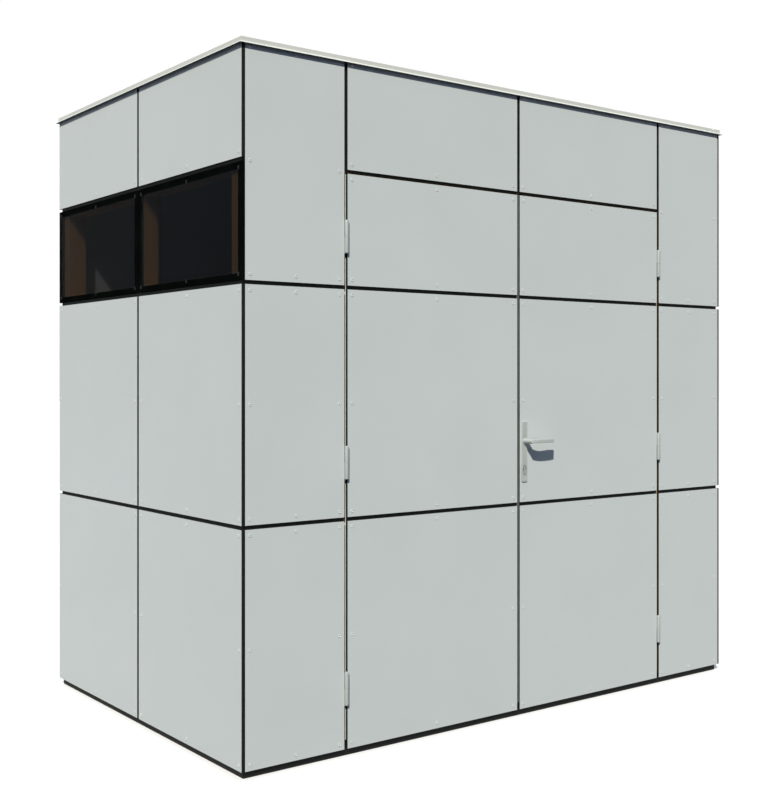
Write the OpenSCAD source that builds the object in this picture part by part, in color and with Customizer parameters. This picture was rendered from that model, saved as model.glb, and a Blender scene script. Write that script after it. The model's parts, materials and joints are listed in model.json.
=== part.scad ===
// Flat-roofed garden shed with flush wall panels, a double door and a ribbon window.
// Millimetres. X runs along the front, Y goes to the back, Z goes up.
// The origin is on the ground, below the middle of the panelled walls.

/* [Overall] */
// Width over the side wall panels
shed_w = 2344; // [2100:2:2800]
// Depth over the front and back wall panels
shed_d = 1474; // [1200:2:2200]

/* [Wall panels] */
// Thickness of the wall panels and window panes
panel_t = 8; // [6:1:12]
// Open joint between two panels, and round the door leaves
panel_gap = 12; // [11:1:14]
// Gap between a front or back panel and the side panel beside it
corner_gap = 4; // [2:1:8]
// Height of the panels' bottom edges above the ground
base_gap = 24.5; // [10:0.5:30]
// Height of the two large panels in each column
tall_panel_h = 752.5; // [700:0.5:800]
// Height of the window panes and of the small door panels
short_panel_h = 370; // [300:1:420]
// Height of the panels above the window and above the double door
top_panel_h = 365; // [250:1:600]
// Width of the fixed panels beside the double door
side_column_w = 377; // [300:1:450]
// Gap between the top edge of the panels and the roof trim above them
panel_top_clear = 6; // [3:1:12]

/* [Joint tape] */
// Thickness of the black tape behind the panel joints
tape_t = 2; // [1:0.5:3]
// Width of the black tape
tape_w = 40; // [30:2:50]
// Gap between the tapes of two walls at a corner
tape_corner_gap = 1; // [0.5:0.5:4]

/* [Timber frame] */
// Width and depth of the corner posts, the door posts and the roof beams
post_w = 70; // [60:2:90]
// Width of the studs between the posts
stud_w = 50; // [44:2:60]
// Depth of the studs and of the rails between them
stud_d = 58; // [45:1:65]
// Height of the horizontal rails behind the panel joints
rail_h = 60; // [50:2:80]
// Height of the black base timbers
base_h = 45; // [40:1:60]
// Width of the black base timbers
base_w = 95; // [85:1:120]
// Distance of the base timbers behind the face of the panels
base_in = 13; // [12:1:20]
// Width of the floor joists and of the roof joists
joist_w = 50; // [40:2:70]
// Thickness of the floor board
floor_t = 18; // [12:1:25]
// Gap between the floor board and the posts
floor_clear = 2; // [1:0.5:5]

/* [Roof] */
// Thickness of the roof deck
deck_t = 18; // [12:1:25]
// Thickness of the rubber roof membrane
membrane_t = 2; // [1:0.5:4]
// Thickness of the aluminium roof trim
trim_t = 2; // [1.5:0.5:3]
// Width of the trim that lies on the membrane
trim_flange_w = 62; // [40:1:90]
// Distance of the trim's upright face in front of the panels
trim_face_out = 1; // [0.5:0.5:4]
// Distance of the trim's drip edge in front of the panels
drip_out = 12; // [7:0.5:16]
// Height of the sloping drip edge
drip_h = 7; // [4:0.5:9]
// Height of the whole trim
trim_h = 20.5; // [16:0.5:30]

/* [Double door] */
// Depth of the timber frame in a door leaf
leaf_frame_d = 40; // [30:1:50]
// Width of the stiles and rails in a door leaf
stile_w = 60; // [50:1:80]
// Gap above the base timber and below the door header
door_end_clear = 6; // [5:0.5:10]
// Height of the header above the double door
header_h = 70; // [50:1:90]
// Width and height of the stops behind the leaves
door_stop_w = 20; // [12:1:30]
// Gap between a leaf and the stops behind it
door_stop_clear = 5; // [5:0.5:8]

/* [Hinges] */
// Radius of the hinge barrels
hinge_r = 7; // [6:0.5:9]
// Length of a hinge barrel
hinge_l = 110; // [80:2:140]
// Gap between a hinge barrel and the edges of the panels beside it
hinge_clear = 0.5; // [0.4:0.1:1.5]
// Height of the middle of the lowest hinge
hinge_z = 224.5; // [150:0.5:300]
// Distance between two hinges, one above the other
hinge_pitch = 745; // [500:1:760]
// Gap between the upper and the lower half of a barrel
knuckle_gap = 0.5; // [0.4:0.1:1]
// Radius of the hinge pin
hinge_pin_r = 3.5; // [2.5:0.5:4]
// Running clearance round the hinge pin
hinge_pin_clear = 0.05; // [0.03:0.01:0.08]
// Distance from the top of the barrel down to the end of the pin
hinge_pin_end = 11; // [5:0.5:20]
// Gap between the end of the pin and the end of its bore
hinge_pin_end_clear = 1.5; // [0.5:0.5:3]
// Thickness of the hinge plates in the joint beside the leaf
hinge_plate_t = 2.5; // [2:0.5:2.5]
// Depth of the hinge plates behind the face of the panels
hinge_plate_d = 42; // [30:1:45]

/* [Door handle] */
// Height of the lever's axis above the ground
lever_z = 1014.5; // [900:0.5:1100]
// Distance of the lever's axis from the meeting edge of the leaf
lever_backset = 22.5; // [20:0.5:30]
// Width of the narrow backplates
backplate_w = 31; // [26:1:36]
// Height of the backplates
backplate_h = 228; // [180:2:260]
// Thickness of the backplates
backplate_t = 4; // [2:0.5:6]
// Distance from the lever's axis up to the top of the backplate
backplate_up = 75; // [40:1:90]
// Distance from the lever's axis down to the lock cylinder
cylinder_drop = 99; // [72:1:120]
// Radius of the lever's round neck
neck_r = 10.5; // [7:0.5:11]
// Reach of the arm's root from the lever's axis toward the tip
root_l = 17; // [12:0.5:20]
// Distance of the arm's root from the face of the door
root_out = 14; // [8:1:20]
// Height of the lever's arm
arm_h = 15; // [12:1:20]
// Thickness of the lever's arm, away from the door
arm_t = 20; // [10:1:22]
// Distance of the arm's outer face from the face of the door
arm_out = 57; // [46:1:70]
// Length of the arm from the lever's axis to its tip
arm_l = 118; // [90:1:130]
// Side of the square spindle
spindle_w = 8; // [7:1:9]
// Depth of the spindle in each lever
spindle_seat = 25; // [15:1:32]
// Radius of the hole through the leaf for the spindle
spindle_bore_r = 9; // [8:0.5:11]
// Clearance round the lever's neck and the lock cylinder in the backplates
backplate_clear = 0.3; // [0.2:0.1:0.6]
// Clearance round the lock cylinder in the leaf
cylinder_clear = 0.5; // [0.3:0.1:1]
// Radius of the round part of the lock cylinder
cylinder_r = 8.5; // [8:0.5:9]
// Width of the lower part of the lock cylinder
cylinder_fin_w = 10; // [9:0.5:11]
// Height of the lock cylinder
cylinder_h = 33; // [30:1:34]
// Distance that the lock cylinder stands out of the backplates
cylinder_out = 2; // [0.5:0.5:4]
// Thickness of the lock's faceplate in the edge of the leaf
faceplate_t = 3; // [2:0.5:4]
// Width of the lock's faceplate
faceplate_w = 24; // [20:1:26]
// Height of the lock's faceplate
faceplate_h = 240; // [200:5:280]

/* [Hidden] */
$fn = 48;

// How far a cut reaches past the faces that it goes through
cut_past = 1;

half_w = shed_w / 2;
half_d = shed_d / 2;
// Depth of the frame's outer face behind the face of the panels
frame_in = panel_t + tape_t;
frame_x = half_w - frame_in;
frame_y = half_d - frame_in;
// Ends of the tape on the side walls
tape_y = frame_y - tape_corner_gap;
// Outer faces of the base timbers
base_x = half_w - base_in;
base_y = half_d - base_in;
// Inner faces of the corner posts and of the studs
post_x = frame_x - post_w;
post_y = frame_y - post_w;
stud_x = frame_x - stud_d;
stud_y = frame_y - stud_d;

// Distance between the floor joists, in four even bays, and between the roof joists, in six
floor_joist_pitch = (base_x - base_w) / 2;
roof_joist_pitch = post_x / 3;

// Middle levels of the horizontal joints, from the bottom row of panels to the top one
joint_1 = base_gap + tall_panel_h + panel_gap / 2;
joint_2 = joint_1 + tall_panel_h + panel_gap;
joint_3 = joint_2 + short_panel_h + panel_gap;
row_base = base_gap - panel_gap / 2;
row_top = joint_3 + top_panel_h + panel_gap;

// Levels of the roof, up from the top edge of the panels
panel_top = row_top - panel_gap / 2;
membrane_top = panel_top + panel_top_clear;
deck_top = membrane_top - membrane_t;
deck_bottom = deck_top - deck_t;
beam_bottom = deck_bottom - post_w;
shed_h = membrane_top + trim_t;
trim_bottom = shed_h - trim_h;

three_rows = [row_base, joint_1, joint_2, row_top];
door_rows = [row_base, joint_1, joint_2, joint_3];

// Middle lines of the upright joints along the front and the back
front_end = half_w - panel_t - corner_gap;
column_x = front_end - side_column_w - panel_gap / 2;
front_columns = [-front_end - panel_gap / 2, -column_x, 0, column_x, front_end + panel_gap / 2];
side_columns = [-half_d - panel_gap / 2, 0, half_d + panel_gap / 2];

// Door leaves
leaf_edge = column_x - panel_gap / 2;
meet_edge = panel_gap / 2;
door_post_x = column_x + panel_gap / 2;
leaf_in = frame_in + leaf_frame_d;
leaf_top = joint_3 - panel_gap / 2;
leaf_bottom = base_h + door_end_clear;
header_z = leaf_top + door_end_clear;

// Hinges: the barrel lies in front of the joint, as deep as the panels' edges let it
hinge_out = sqrt(max(0, pow(hinge_r + hinge_clear, 2) - pow(panel_gap / 2, 2)));
hinge_y = -half_d - hinge_out;
hinge_levels = [for (i = [0:2]) hinge_z + i * hinge_pitch];

// Handle and lock
lever_x = meet_edge + lever_backset;
cylinder_z = lever_z - cylinder_drop;
plate_top = lever_z + backplate_up;
leaf_inner_y = -half_d + leaf_in;

timber = "BurlyWood";
board = "Silver";
black = "#151718";
steel = "#C8CAC8";

module box(low, high) {
    translate(low)
        cube(high - low);
}

module both_x() {
    children();
    mirror([1, 0, 0])
        children();
}

module both_y() {
    children();
    mirror([0, 1, 0])
        children();
}

// A grid of panels in the front plane: columns and rows are the middle lines of the joints
module panels_front(columns, rows) {
    for (i = [0:len(columns) - 2], j = [0:len(rows) - 2])
        box([columns[i] + panel_gap / 2, -half_d, rows[j] + panel_gap / 2],
            [columns[i + 1] - panel_gap / 2, -half_d + panel_t, rows[j + 1] - panel_gap / 2]);
}

// The same in the plane of the left side
module panels_left(columns, rows) {
    for (i = [0:len(columns) - 2], j = [0:len(rows) - 2])
        box([-half_w, columns[i] + panel_gap / 2, rows[j] + panel_gap / 2],
            [-half_w + panel_t, columns[i + 1] - panel_gap / 2, rows[j + 1] - panel_gap / 2]);
}

// ---- Base and floor ----

module base_front_back() {
    color(black)
        both_y()
            box([-base_x, -base_y, 0], [base_x, -base_y + base_w, base_h]);
}

module base_sides() {
    color(black)
        both_x()
            box([-base_x, -base_y + base_w, 0], [-base_x + base_w, base_y - base_w, base_h]);
}

module floor_joists() {
    color(black)
        for (i = [-1:1])
            translate([i * floor_joist_pitch, 0, 0])
                box([-joist_w / 2, -base_y + base_w, 0], [joist_w / 2, base_y - base_w, base_h]);
}

module floor_board() {
    color("Peru")
        box([-post_x + floor_clear, -post_y + floor_clear, base_h],
            [post_x - floor_clear, post_y - floor_clear, base_h + floor_t]);
}

// ---- Posts, studs and rails ----

module corner_posts() {
    color(timber)
        both_x()
            both_y()
                box([-frame_x, -frame_y, base_h], [-post_x, -post_y, beam_bottom]);
}

module door_posts() {
    color(timber)
        both_x()
            box([door_post_x, -frame_y, base_h], [door_post_x + post_w, -post_y, beam_bottom]);
}

module door_header() {
    color(timber)
        box([-door_post_x, -frame_y, header_z], [door_post_x, -post_y, header_z + header_h]);
}

module door_stops() {
    stop_y = leaf_inner_y + door_stop_clear;
    color(timber) {
        box([-door_post_x, stop_y, header_z - door_end_clear - door_stop_w],
            [door_post_x, stop_y + door_stop_w, header_z]);
        box([-door_post_x, stop_y, base_h],
            [door_post_x, stop_y + door_stop_w, base_h + door_end_clear + door_stop_w]);
    }
}

module side_studs() {
    color(timber)
        both_x()
            box([-frame_x, -stud_w / 2, base_h], [-stud_x, stud_w / 2, beam_bottom]);
}

module back_studs() {
    color(timber)
        for (x = [-column_x, 0, column_x])
            box([x - stud_w / 2, stud_y, base_h], [x + stud_w / 2, frame_y, beam_bottom]);
}

module front_side_rails() {
    color(timber)
        for (z = [joint_1, joint_2])
            both_x()
                box([door_post_x + post_w, -frame_y, z - rail_h / 2],
                    [post_x, -stud_y, z + rail_h / 2]);
}

module side_wall_rails() {
    color(timber)
        both_y() {
            for (z = [joint_1, joint_2, joint_3])
                box([-frame_x, stud_w / 2, z - rail_h / 2], [-stud_x, post_y, z + rail_h / 2]);
            for (z = [joint_1, joint_2])
                box([stud_x, stud_w / 2, z - rail_h / 2], [frame_x, post_y, z + rail_h / 2]);
        }
}

module back_wall_rails() {
    color(timber)
        for (z = [joint_1, joint_2])
            both_x() {
                box([stud_w / 2, stud_y, z - rail_h / 2],
                    [column_x - stud_w / 2, frame_y, z + rail_h / 2]);
                box([column_x + stud_w / 2, stud_y, z - rail_h / 2],
                    [post_x, frame_y, z + rail_h / 2]);
            }
}

// ---- Roof ----

module top_beams_front_back() {
    color(timber)
        both_y()
            box([-frame_x, -frame_y, beam_bottom], [frame_x, -post_y, deck_bottom]);
}

module top_beams_sides() {
    color(timber)
        both_x()
            box([-frame_x, -post_y, beam_bottom], [-post_x, post_y, deck_bottom]);
}

module roof_joists() {
    color(timber)
        for (i = [-2:2])
            translate([i * roof_joist_pitch, 0, 0])
                box([-joist_w / 2, -post_y, beam_bottom], [joist_w / 2, post_y, deck_bottom]);
}

module roof_deck() {
    color("Peru")
        box([-frame_x, -frame_y, deck_bottom], [frame_x, frame_y, deck_top]);
}

module roof_membrane() {
    color("#2A2D2E")
        box([-frame_x, -frame_y, deck_top], [frame_x, frame_y, membrane_top]);
}

// Section of the roof trim: x is the distance in front of the panels, y the height
module trim_section() {
    face = trim_face_out + trim_t;
    drip_top = trim_bottom + drip_h;
    polygon([[face, shed_h], [face - trim_flange_w, shed_h],
        [face - trim_flange_w, membrane_top], [trim_face_out, membrane_top],
        [trim_face_out, drip_top], [drip_out - trim_t, trim_bottom],
        [drip_out, trim_bottom], [face, drip_top]]);
}

// A straight length of trim with mitred ends, along the front of a shed of this half size
module trim_length(half_l, half_out) {
    reach = half_l + drip_out;
    flange_end = trim_flange_w - trim_face_out - trim_t;
    intersection() {
        translate([-reach, -half_out, 0])
            rotate([90, 0, 90])
                mirror([1, 0, 0])
                    linear_extrude(2 * reach)
                        trim_section();
        linear_extrude(shed_h)
            polygon([[-reach, -half_out - drip_out], [reach, -half_out - drip_out],
                [half_l - flange_end, -half_out + flange_end],
                [-half_l + flange_end, -half_out + flange_end]]);
    }
}

module roof_trim_front_back() {
    color("#E4E4DE")
        both_y()
            trim_length(half_w, half_d);
}

module roof_trim_sides() {
    color("#E4E4DE")
        both_x()
            rotate(-90)
                trim_length(half_d, half_w);
}

// ---- Wall panels, panes and the black tape behind their joints ----

// Strips behind the joints of one wall, drawn in the wall's plane: half a strip along each
// edge of the area between two corners, and a whole one at each upright and level joint
module tape_strips(low, high, columns, levels) {
    size = high - low;
    translate(low)
        difference() {
            square(size);
            translate([tape_w / 2, tape_w / 2])
                square(size - [tape_w, tape_w]);
        }
    for (x = columns)
        translate([x - tape_w / 2, low[1]])
            square([tape_w, size[1]]);
    for (z = levels)
        translate([low[0], z - tape_w / 2])
            square([size[0], tape_w]);
}

module joint_tapes() {
    color(black) {
        translate([0, -frame_y, 0])
            rotate([90, 0, 0])
                linear_extrude(tape_t) {
                    for (x = [[-frame_x, -door_post_x], [door_post_x, frame_x]])
                        tape_strips([x[0], base_h], [x[1], deck_bottom], [], [joint_1, joint_2]);
                    tape_strips([-door_post_x, header_z], [door_post_x, deck_bottom], [0], []);
                }
        translate([0, frame_y + tape_t, 0])
            rotate([90, 0, 0])
                linear_extrude(tape_t)
                    tape_strips([-frame_x, base_h], [frame_x, deck_bottom],
                        [-column_x, 0, column_x], [joint_1, joint_2]);
        translate([-frame_x - tape_t, 0, 0])
            rotate([90, 0, 90])
                linear_extrude(tape_t)
                    tape_strips([-tape_y, base_h], [tape_y, deck_bottom],
                        [0], [joint_1, joint_2, joint_3]);
        translate([frame_x, 0, 0])
            rotate([90, 0, 90])
                linear_extrude(tape_t)
                    tape_strips([-tape_y, base_h], [tape_y, deck_bottom],
                        [0], [joint_1, joint_2]);
    }
}

module front_side_cladding() {
    color(board)
        both_x()
            panels_front([column_x, front_end + panel_gap / 2], three_rows);
}

module front_top_cladding() {
    color(board)
        panels_front([-column_x, 0, column_x], [joint_3, row_top]);
}

module left_cladding() {
    color(board) {
        panels_left(side_columns, [row_base, joint_1, joint_2]);
        panels_left(side_columns, [joint_3, row_top]);
    }
}

module right_cladding() {
    color(board)
        mirror([1, 0, 0])
            panels_left(side_columns, three_rows);
}

module back_cladding() {
    color(board)
        mirror([0, 1, 0])
            panels_front(front_columns, three_rows);
}

module window_panes() {
    color([0.12, 0.13, 0.12, 0.6])
        panels_left(side_columns, [joint_2, joint_3]);
}

// ---- Double door: everything is drawn for the right leaf and mirrored for the left ----

module leaf_stiles() {
    for (x = [meet_edge, leaf_edge - stile_w])
        box([x, -frame_y, leaf_bottom], [x + stile_w, leaf_inner_y, leaf_top]);
}

module leaf_rails() {
    levels = [leaf_bottom + rail_h / 2, joint_1, joint_2, leaf_top - rail_h / 2];
    for (z = levels)
        box([meet_edge + stile_w, -frame_y, z - rail_h / 2],
            [leaf_edge - stile_w, leaf_inner_y, z + rail_h / 2]);
}

module leaf_tape() {
    translate([0, -frame_y, 0])
        rotate([90, 0, 0])
            linear_extrude(tape_t)
                tape_strips([meet_edge, leaf_bottom], [leaf_edge, leaf_top],
                    [], [joint_1, joint_2]);
}

module leaf_panels() {
    panels_front([0, column_x], door_rows);
}

// Bores through the right leaf for the lever's spindle and the lock cylinder
module lock_bores() {
    translate([lever_x, -half_d - cut_past, lever_z])
        rotate([-90, 0, 0])
            cylinder(r = spindle_bore_r, h = leaf_in + 2 * cut_past);
    translate([lever_x, -half_d - cut_past, cylinder_z])
        rotate([-90, 0, 0])
            linear_extrude(leaf_in + 2 * cut_past)
                mirror([0, 1, 0])
                    cylinder_outline(cylinder_clear);
}

// Outline of the lock cylinder: a round barrel with a narrow fin below it
module cylinder_outline(clear) {
    circle(r = cylinder_r + clear);
    translate([-cylinder_fin_w / 2 - clear, -cylinder_h + cylinder_r - clear])
        square([cylinder_fin_w + 2 * clear, cylinder_h - cylinder_r]);
}

// The lock's faceplate, flush with the meeting edge or reaching past it
module faceplate(past) {
    middle_y = (-frame_y + leaf_inner_y) / 2;
    middle_z = lever_z - cylinder_drop / 2;
    box([meet_edge - past, middle_y - faceplate_w / 2, middle_z - faceplate_h / 2],
        [meet_edge + faceplate_t, middle_y + faceplate_w / 2, middle_z + faceplate_h / 2]);
}

module left_door_stiles() {
    color(timber)
        mirror([1, 0, 0])
            difference() {
                leaf_stiles();
                faceplate(cut_past);
            }
}

module left_door_rails() {
    color(timber)
        mirror([1, 0, 0])
            leaf_rails();
}

module left_door_tape() {
    color(black)
        mirror([1, 0, 0])
            leaf_tape();
}

module left_door_cladding() {
    color(board)
        mirror([1, 0, 0])
            leaf_panels();
}

module right_door_stiles() {
    color(timber)
        difference() {
            leaf_stiles();
            lock_bores();
            faceplate(cut_past);
        }
}

module right_door_rails() {
    color(timber)
        leaf_rails();
}

module right_door_tape() {
    color(black)
        difference() {
            leaf_tape();
            lock_bores();
        }
}

module right_door_cladding() {
    color(board)
        difference() {
            leaf_panels();
            lock_bores();
        }
}

// ---- Hinges ----

// Lower half of a hinge with its pin, and the plate on the fixed side of the joint
module hinge_lower() {
    barrel_h = (hinge_l - knuckle_gap) / 2;
    plate_x = panel_gap / 2 - hinge_plate_t;
    translate([0, 0, -hinge_l / 2]) {
        cylinder(r = hinge_r, h = barrel_h);
        cylinder(r = hinge_pin_r, h = hinge_l - hinge_pin_end);
        box([plate_x, 0, 0], [plate_x + hinge_plate_t, hinge_out + hinge_plate_d, barrel_h]);
    }
}

// Upper half of a hinge with the bore for the pin, and the plate on the leaf's edge
module hinge_upper() {
    barrel_h = (hinge_l - knuckle_gap) / 2;
    bore_h = barrel_h - hinge_pin_end + hinge_pin_end_clear;
    plate_x = -panel_gap / 2;
    translate([0, 0, hinge_l / 2 - barrel_h])
        difference() {
            union() {
                cylinder(r = hinge_r, h = barrel_h);
                box([plate_x, 0, 0], [plate_x + hinge_plate_t, hinge_out + hinge_plate_d, barrel_h]);
            }
            translate([0, 0, -cut_past])
                cylinder(r = hinge_pin_r + hinge_pin_clear, h = cut_past + bore_h);
        }
}

module at_right_hinges() {
    for (z = hinge_levels)
        translate([column_x, hinge_y, z])
            children();
}

module hinge_frame_halves() {
    color(steel)
        both_x()
            at_right_hinges()
                hinge_lower();
}

module left_door_hinges() {
    color(steel)
        mirror([1, 0, 0])
            at_right_hinges()
                hinge_upper();
}

module right_door_hinges() {
    color(steel)
        at_right_hinges()
            hinge_upper();
}

// ---- Handle and lock ----

module backplate() {
    difference() {
        box([lever_x - backplate_w / 2, 0, plate_top - backplate_h],
            [lever_x + backplate_w / 2, backplate_t, plate_top]);
        translate([lever_x, -cut_past, lever_z])
            rotate([-90, 0, 0])
                cylinder(r = neck_r + backplate_clear, h = backplate_t + 2 * cut_past);
        translate([lever_x, -cut_past, cylinder_z])
            rotate([-90, 0, 0])
                linear_extrude(backplate_t + 2 * cut_past)
                    mirror([0, 1, 0])
                        cylinder_outline(backplate_clear);
    }
}

module door_backplates() {
    color(steel) {
        translate([0, -half_d - backplate_t, 0])
            backplate();
        translate([0, leaf_inner_y, 0])
            backplate();
    }
}

module lock_cylinder() {
    length = leaf_in + 2 * (backplate_t + cylinder_out);
    color("#8C8C88")
        translate([lever_x, -half_d - backplate_t - cylinder_out, cylinder_z])
            rotate([-90, 0, 0])
                linear_extrude(length)
                    mirror([0, 1, 0])
                        cylinder_outline(0);
}

module lock_faceplate() {
    color(steel)
        faceplate(0);
}

module left_strike_plate() {
    color(steel)
        mirror([1, 0, 0])
            faceplate(0);
}

// One lever: a round neck out from the door, a flat arm across it with a root that widens the
// neck, and the spindle's socket
module lever() {
    difference() {
        union() {
            rotate([90, 0, 0])
                cylinder(r = neck_r, h = arm_out - arm_t / 2);
            box([-neck_r, -arm_out, -arm_h / 2], [arm_l, -arm_out + arm_t, arm_h / 2]);
            box([0, -arm_out + arm_t / 2, -arm_h / 2], [root_l, -root_out, arm_h / 2]);
        }
        box([-spindle_w / 2, -spindle_seat, -spindle_w / 2],
            [spindle_w / 2, cut_past, spindle_w / 2]);
    }
}

module lever_outside() {
    color(steel)
        translate([lever_x, -half_d, lever_z])
            lever();
}

module lever_inside() {
    color(steel)
        translate([lever_x, leaf_inner_y, lever_z])
            mirror([0, 1, 0])
                lever();
}

module lever_spindle() {
    color("#707070")
        box([lever_x - spindle_w / 2, -half_d - spindle_seat, lever_z - spindle_w / 2],
            [lever_x + spindle_w / 2, leaf_inner_y + spindle_seat, lever_z + spindle_w / 2]);
}

base_front_back();
base_sides();
floor_joists();
floor_board();
corner_posts();
door_posts();
door_header();
door_stops();
side_studs();
back_studs();
front_side_rails();
side_wall_rails();
back_wall_rails();
top_beams_front_back();
top_beams_sides();
roof_joists();
roof_deck();
roof_membrane();
roof_trim_front_back();
roof_trim_sides();
joint_tapes();
front_side_cladding();
front_top_cladding();
left_cladding();
right_cladding();
back_cladding();
window_panes();
hinge_frame_halves();
left_door_stiles();
left_door_rails();
left_door_tape();
left_door_cladding();
left_door_hinges();
left_strike_plate();
right_door_stiles();
right_door_rails();
right_door_tape();
right_door_cladding();
right_door_hinges();
door_backplates();
lock_cylinder();
lock_faceplate();
lever_outside();
lever_inside();
lever_spindle();
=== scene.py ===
"""Looks of a flat-roofed garden shed, built around its packed construction.

Each piece takes its place and size from the frame, and only its fine detail is sized here.
Lengths are in metres unless a name ends in _mm or _MM.
"""
import json
import math

import bmesh
import bpy
from mathutils import Matrix, Vector


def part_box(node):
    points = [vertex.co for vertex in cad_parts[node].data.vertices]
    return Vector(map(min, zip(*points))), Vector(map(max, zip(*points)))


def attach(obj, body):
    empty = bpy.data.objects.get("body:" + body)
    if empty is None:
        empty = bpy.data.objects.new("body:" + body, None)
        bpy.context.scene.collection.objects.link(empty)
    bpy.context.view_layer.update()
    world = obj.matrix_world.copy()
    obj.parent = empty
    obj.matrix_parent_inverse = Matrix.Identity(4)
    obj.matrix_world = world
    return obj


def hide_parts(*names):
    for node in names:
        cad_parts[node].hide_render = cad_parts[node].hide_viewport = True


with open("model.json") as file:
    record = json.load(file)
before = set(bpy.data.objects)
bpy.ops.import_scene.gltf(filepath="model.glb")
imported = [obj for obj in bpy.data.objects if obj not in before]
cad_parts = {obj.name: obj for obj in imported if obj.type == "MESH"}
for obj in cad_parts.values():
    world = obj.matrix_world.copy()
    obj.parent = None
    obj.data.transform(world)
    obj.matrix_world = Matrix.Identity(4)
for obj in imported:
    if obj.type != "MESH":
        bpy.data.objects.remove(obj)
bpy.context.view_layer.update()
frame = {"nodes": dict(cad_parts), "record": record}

MM = 0.001
X, Y, Z = 0, 1, 2
OUT_FRONT = Vector((0, -1, 0))
OUT_BACK = Vector((0, 1, 0))
OUT_LEFT = Vector((-1, 0, 0))
OUT_RIGHT = Vector((1, 0, 0))
UP = Vector((0, 0, 1))

# where a speckle's low tone ends and its high tone starts, on the noise's scale of 0 to 1
TONE_STOPS = (0.35, 0.65)
# wood: the size of its pattern across and along the grain, the share of the fibres' streaks in it,
# and where its middle tone lies between the early wood and the late
GRAIN_ACROSS_MM = 18.0
GRAIN_ALONG_MM = 520.0
FIBRE_SHARE = 0.3
MIDDLE_TONE = 0.6


# ---------------------------------------------------------------- colours and shader nodes

def linear(code):
    """An sRGB hex colour as linear RGBA."""
    channels = [int(code[i:i + 2], 16) / 255 for i in (1, 3, 5)]
    return [c / 12.92 if c <= 0.04045 else ((c + 0.055) / 1.055) ** 2.4 for c in channels] + [1.0]


def add(tree, kind, links=None, **settings):
    """Adds a node with its settings. Links map an input's name or number to a value or a socket."""
    made = tree.nodes.new(kind)
    for name, value in settings.items():
        setattr(made, name, value)
    for socket, value in (links or {}).items():
        if isinstance(value, bpy.types.NodeSocket):
            tree.links.new(value, made.inputs[socket])
        else:
            made.inputs[socket].default_value = value
    return made


def material(name, **surface):
    """A material with one Principled shader, whose plain values are set on its own sockets."""
    made = bpy.data.materials.new(name)
    made.use_nodes = True
    tree = made.node_tree
    shader = tree.nodes["Principled BSDF"]
    for socket, value in surface.items():
        shader.inputs[socket.replace("_", " ")].default_value = value
    return made, tree, shader


def places(tree, size_mm):
    """Object coordinates divided by size_mm, which is then the size of a scale 1 texture's
    features."""
    coords = add(tree, "ShaderNodeTexCoord")
    scale = [1 / (s * MM) for s in size_mm]
    return add(tree, "ShaderNodeMapping", {"Vector": coords.outputs["Object"], "Scale": scale}
               ).outputs["Vector"]


def speckle(tree, shader, low, high, size_mm, detail=3.0):
    """Colour that wanders between two close tones."""
    noise = add(tree, "ShaderNodeTexNoise",
                {"Vector": places(tree, size_mm), "Scale": 1.0, "Detail": detail})
    ramp = add(tree, "ShaderNodeValToRGB", {"Fac": noise.outputs["Fac"]})
    for stop, position, code in zip(ramp.color_ramp.elements, TONE_STOPS, (low, high)):
        stop.position = position
        stop.color = linear(code)
    tree.links.new(ramp.outputs["Color"], shader.inputs["Base Color"])


def grainy(tree, shader, size_mm, depth_mm, strength, detail=2.0):
    """A bump whose grains are size_mm wide and depth_mm deep."""
    noise = add(tree, "ShaderNodeTexNoise",
                {"Vector": places(tree, size_mm), "Scale": 1.0, "Detail": detail})
    bump = add(tree, "ShaderNodeBump",
               {"Height": noise.outputs["Fac"], "Distance": depth_mm * MM, "Strength": strength})
    tree.links.new(bump.outputs["Normal"], shader.inputs["Normal"])


# ---------------------------------------------------------------- materials

def compact_laminate():
    """Light grey compact laminate: printed paper under melamine resin, pressed against a finely
    textured plate, so it's even in colour with a soft, slightly broken sheen."""
    made, tree, shader = material("compact laminate, light grey", Roughness=0.45, IOR=1.5,
                                  Specular_IOR_Level=0.3)
    speckle(tree, shader, "#BEC4C2", "#C0C6C5", (320, 320, 320))
    grainy(tree, shader, (1.6, 1.6, 1.6), 0.03, 0.25)
    return made


def laminate_core():
    """The sawn edge of the laminate: black phenolic paper, planed and dull."""
    made, tree, shader = material("phenolic core, sawn edge", Roughness=0.75,
                                  Specular_IOR_Level=0.1)
    speckle(tree, shader, "#171A19", "#1E2120", (3, 3, 30))
    return made


def wood(name, along, early, middle, late):
    """Planed softwood: early wood with darker late-wood lines about 8 mm apart, which wander
    along the piece, streaked by its fibres, with a dull, slightly furry surface."""
    made, tree, shader = material(name + ", grain along " + "XYZ"[along], Roughness=0.62)
    stretch = [GRAIN_ACROSS_MM] * 3
    stretch[along] = GRAIN_ALONG_MM
    place = places(tree, stretch)
    rings = add(tree, "ShaderNodeTexWave",
                {"Vector": place, "Scale": 0.7, "Distortion": 5.0, "Detail": 3.0,
                 "Detail Scale": 0.7, "Detail Roughness": 0.55},
                wave_type="RINGS", rings_direction="XYZ"[along], wave_profile="SAW")
    fibre = add(tree, "ShaderNodeTexNoise", {"Vector": place, "Scale": 9.0, "Detail": 4.0})
    streaks = add(tree, "ShaderNodeMix",
                  {"Factor": FIBRE_SHARE, "A": rings.outputs["Fac"], "B": fibre.outputs["Fac"]})
    tone = add(tree, "ShaderNodeValToRGB", {"Fac": streaks.outputs["Result"]})
    tone.color_ramp.elements[0].color = linear(early)
    tone.color_ramp.elements[1].color = linear(late)
    tone.color_ramp.elements.new(MIDDLE_TONE).color = linear(middle)
    tree.links.new(tone.outputs["Color"], shader.inputs["Base Color"])
    bump = add(tree, "ShaderNodeBump",
               {"Height": rings.outputs["Fac"], "Distance": 0.2 * MM, "Strength": 0.4})
    tree.links.new(bump.outputs["Normal"], shader.inputs["Normal"])
    return made


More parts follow.
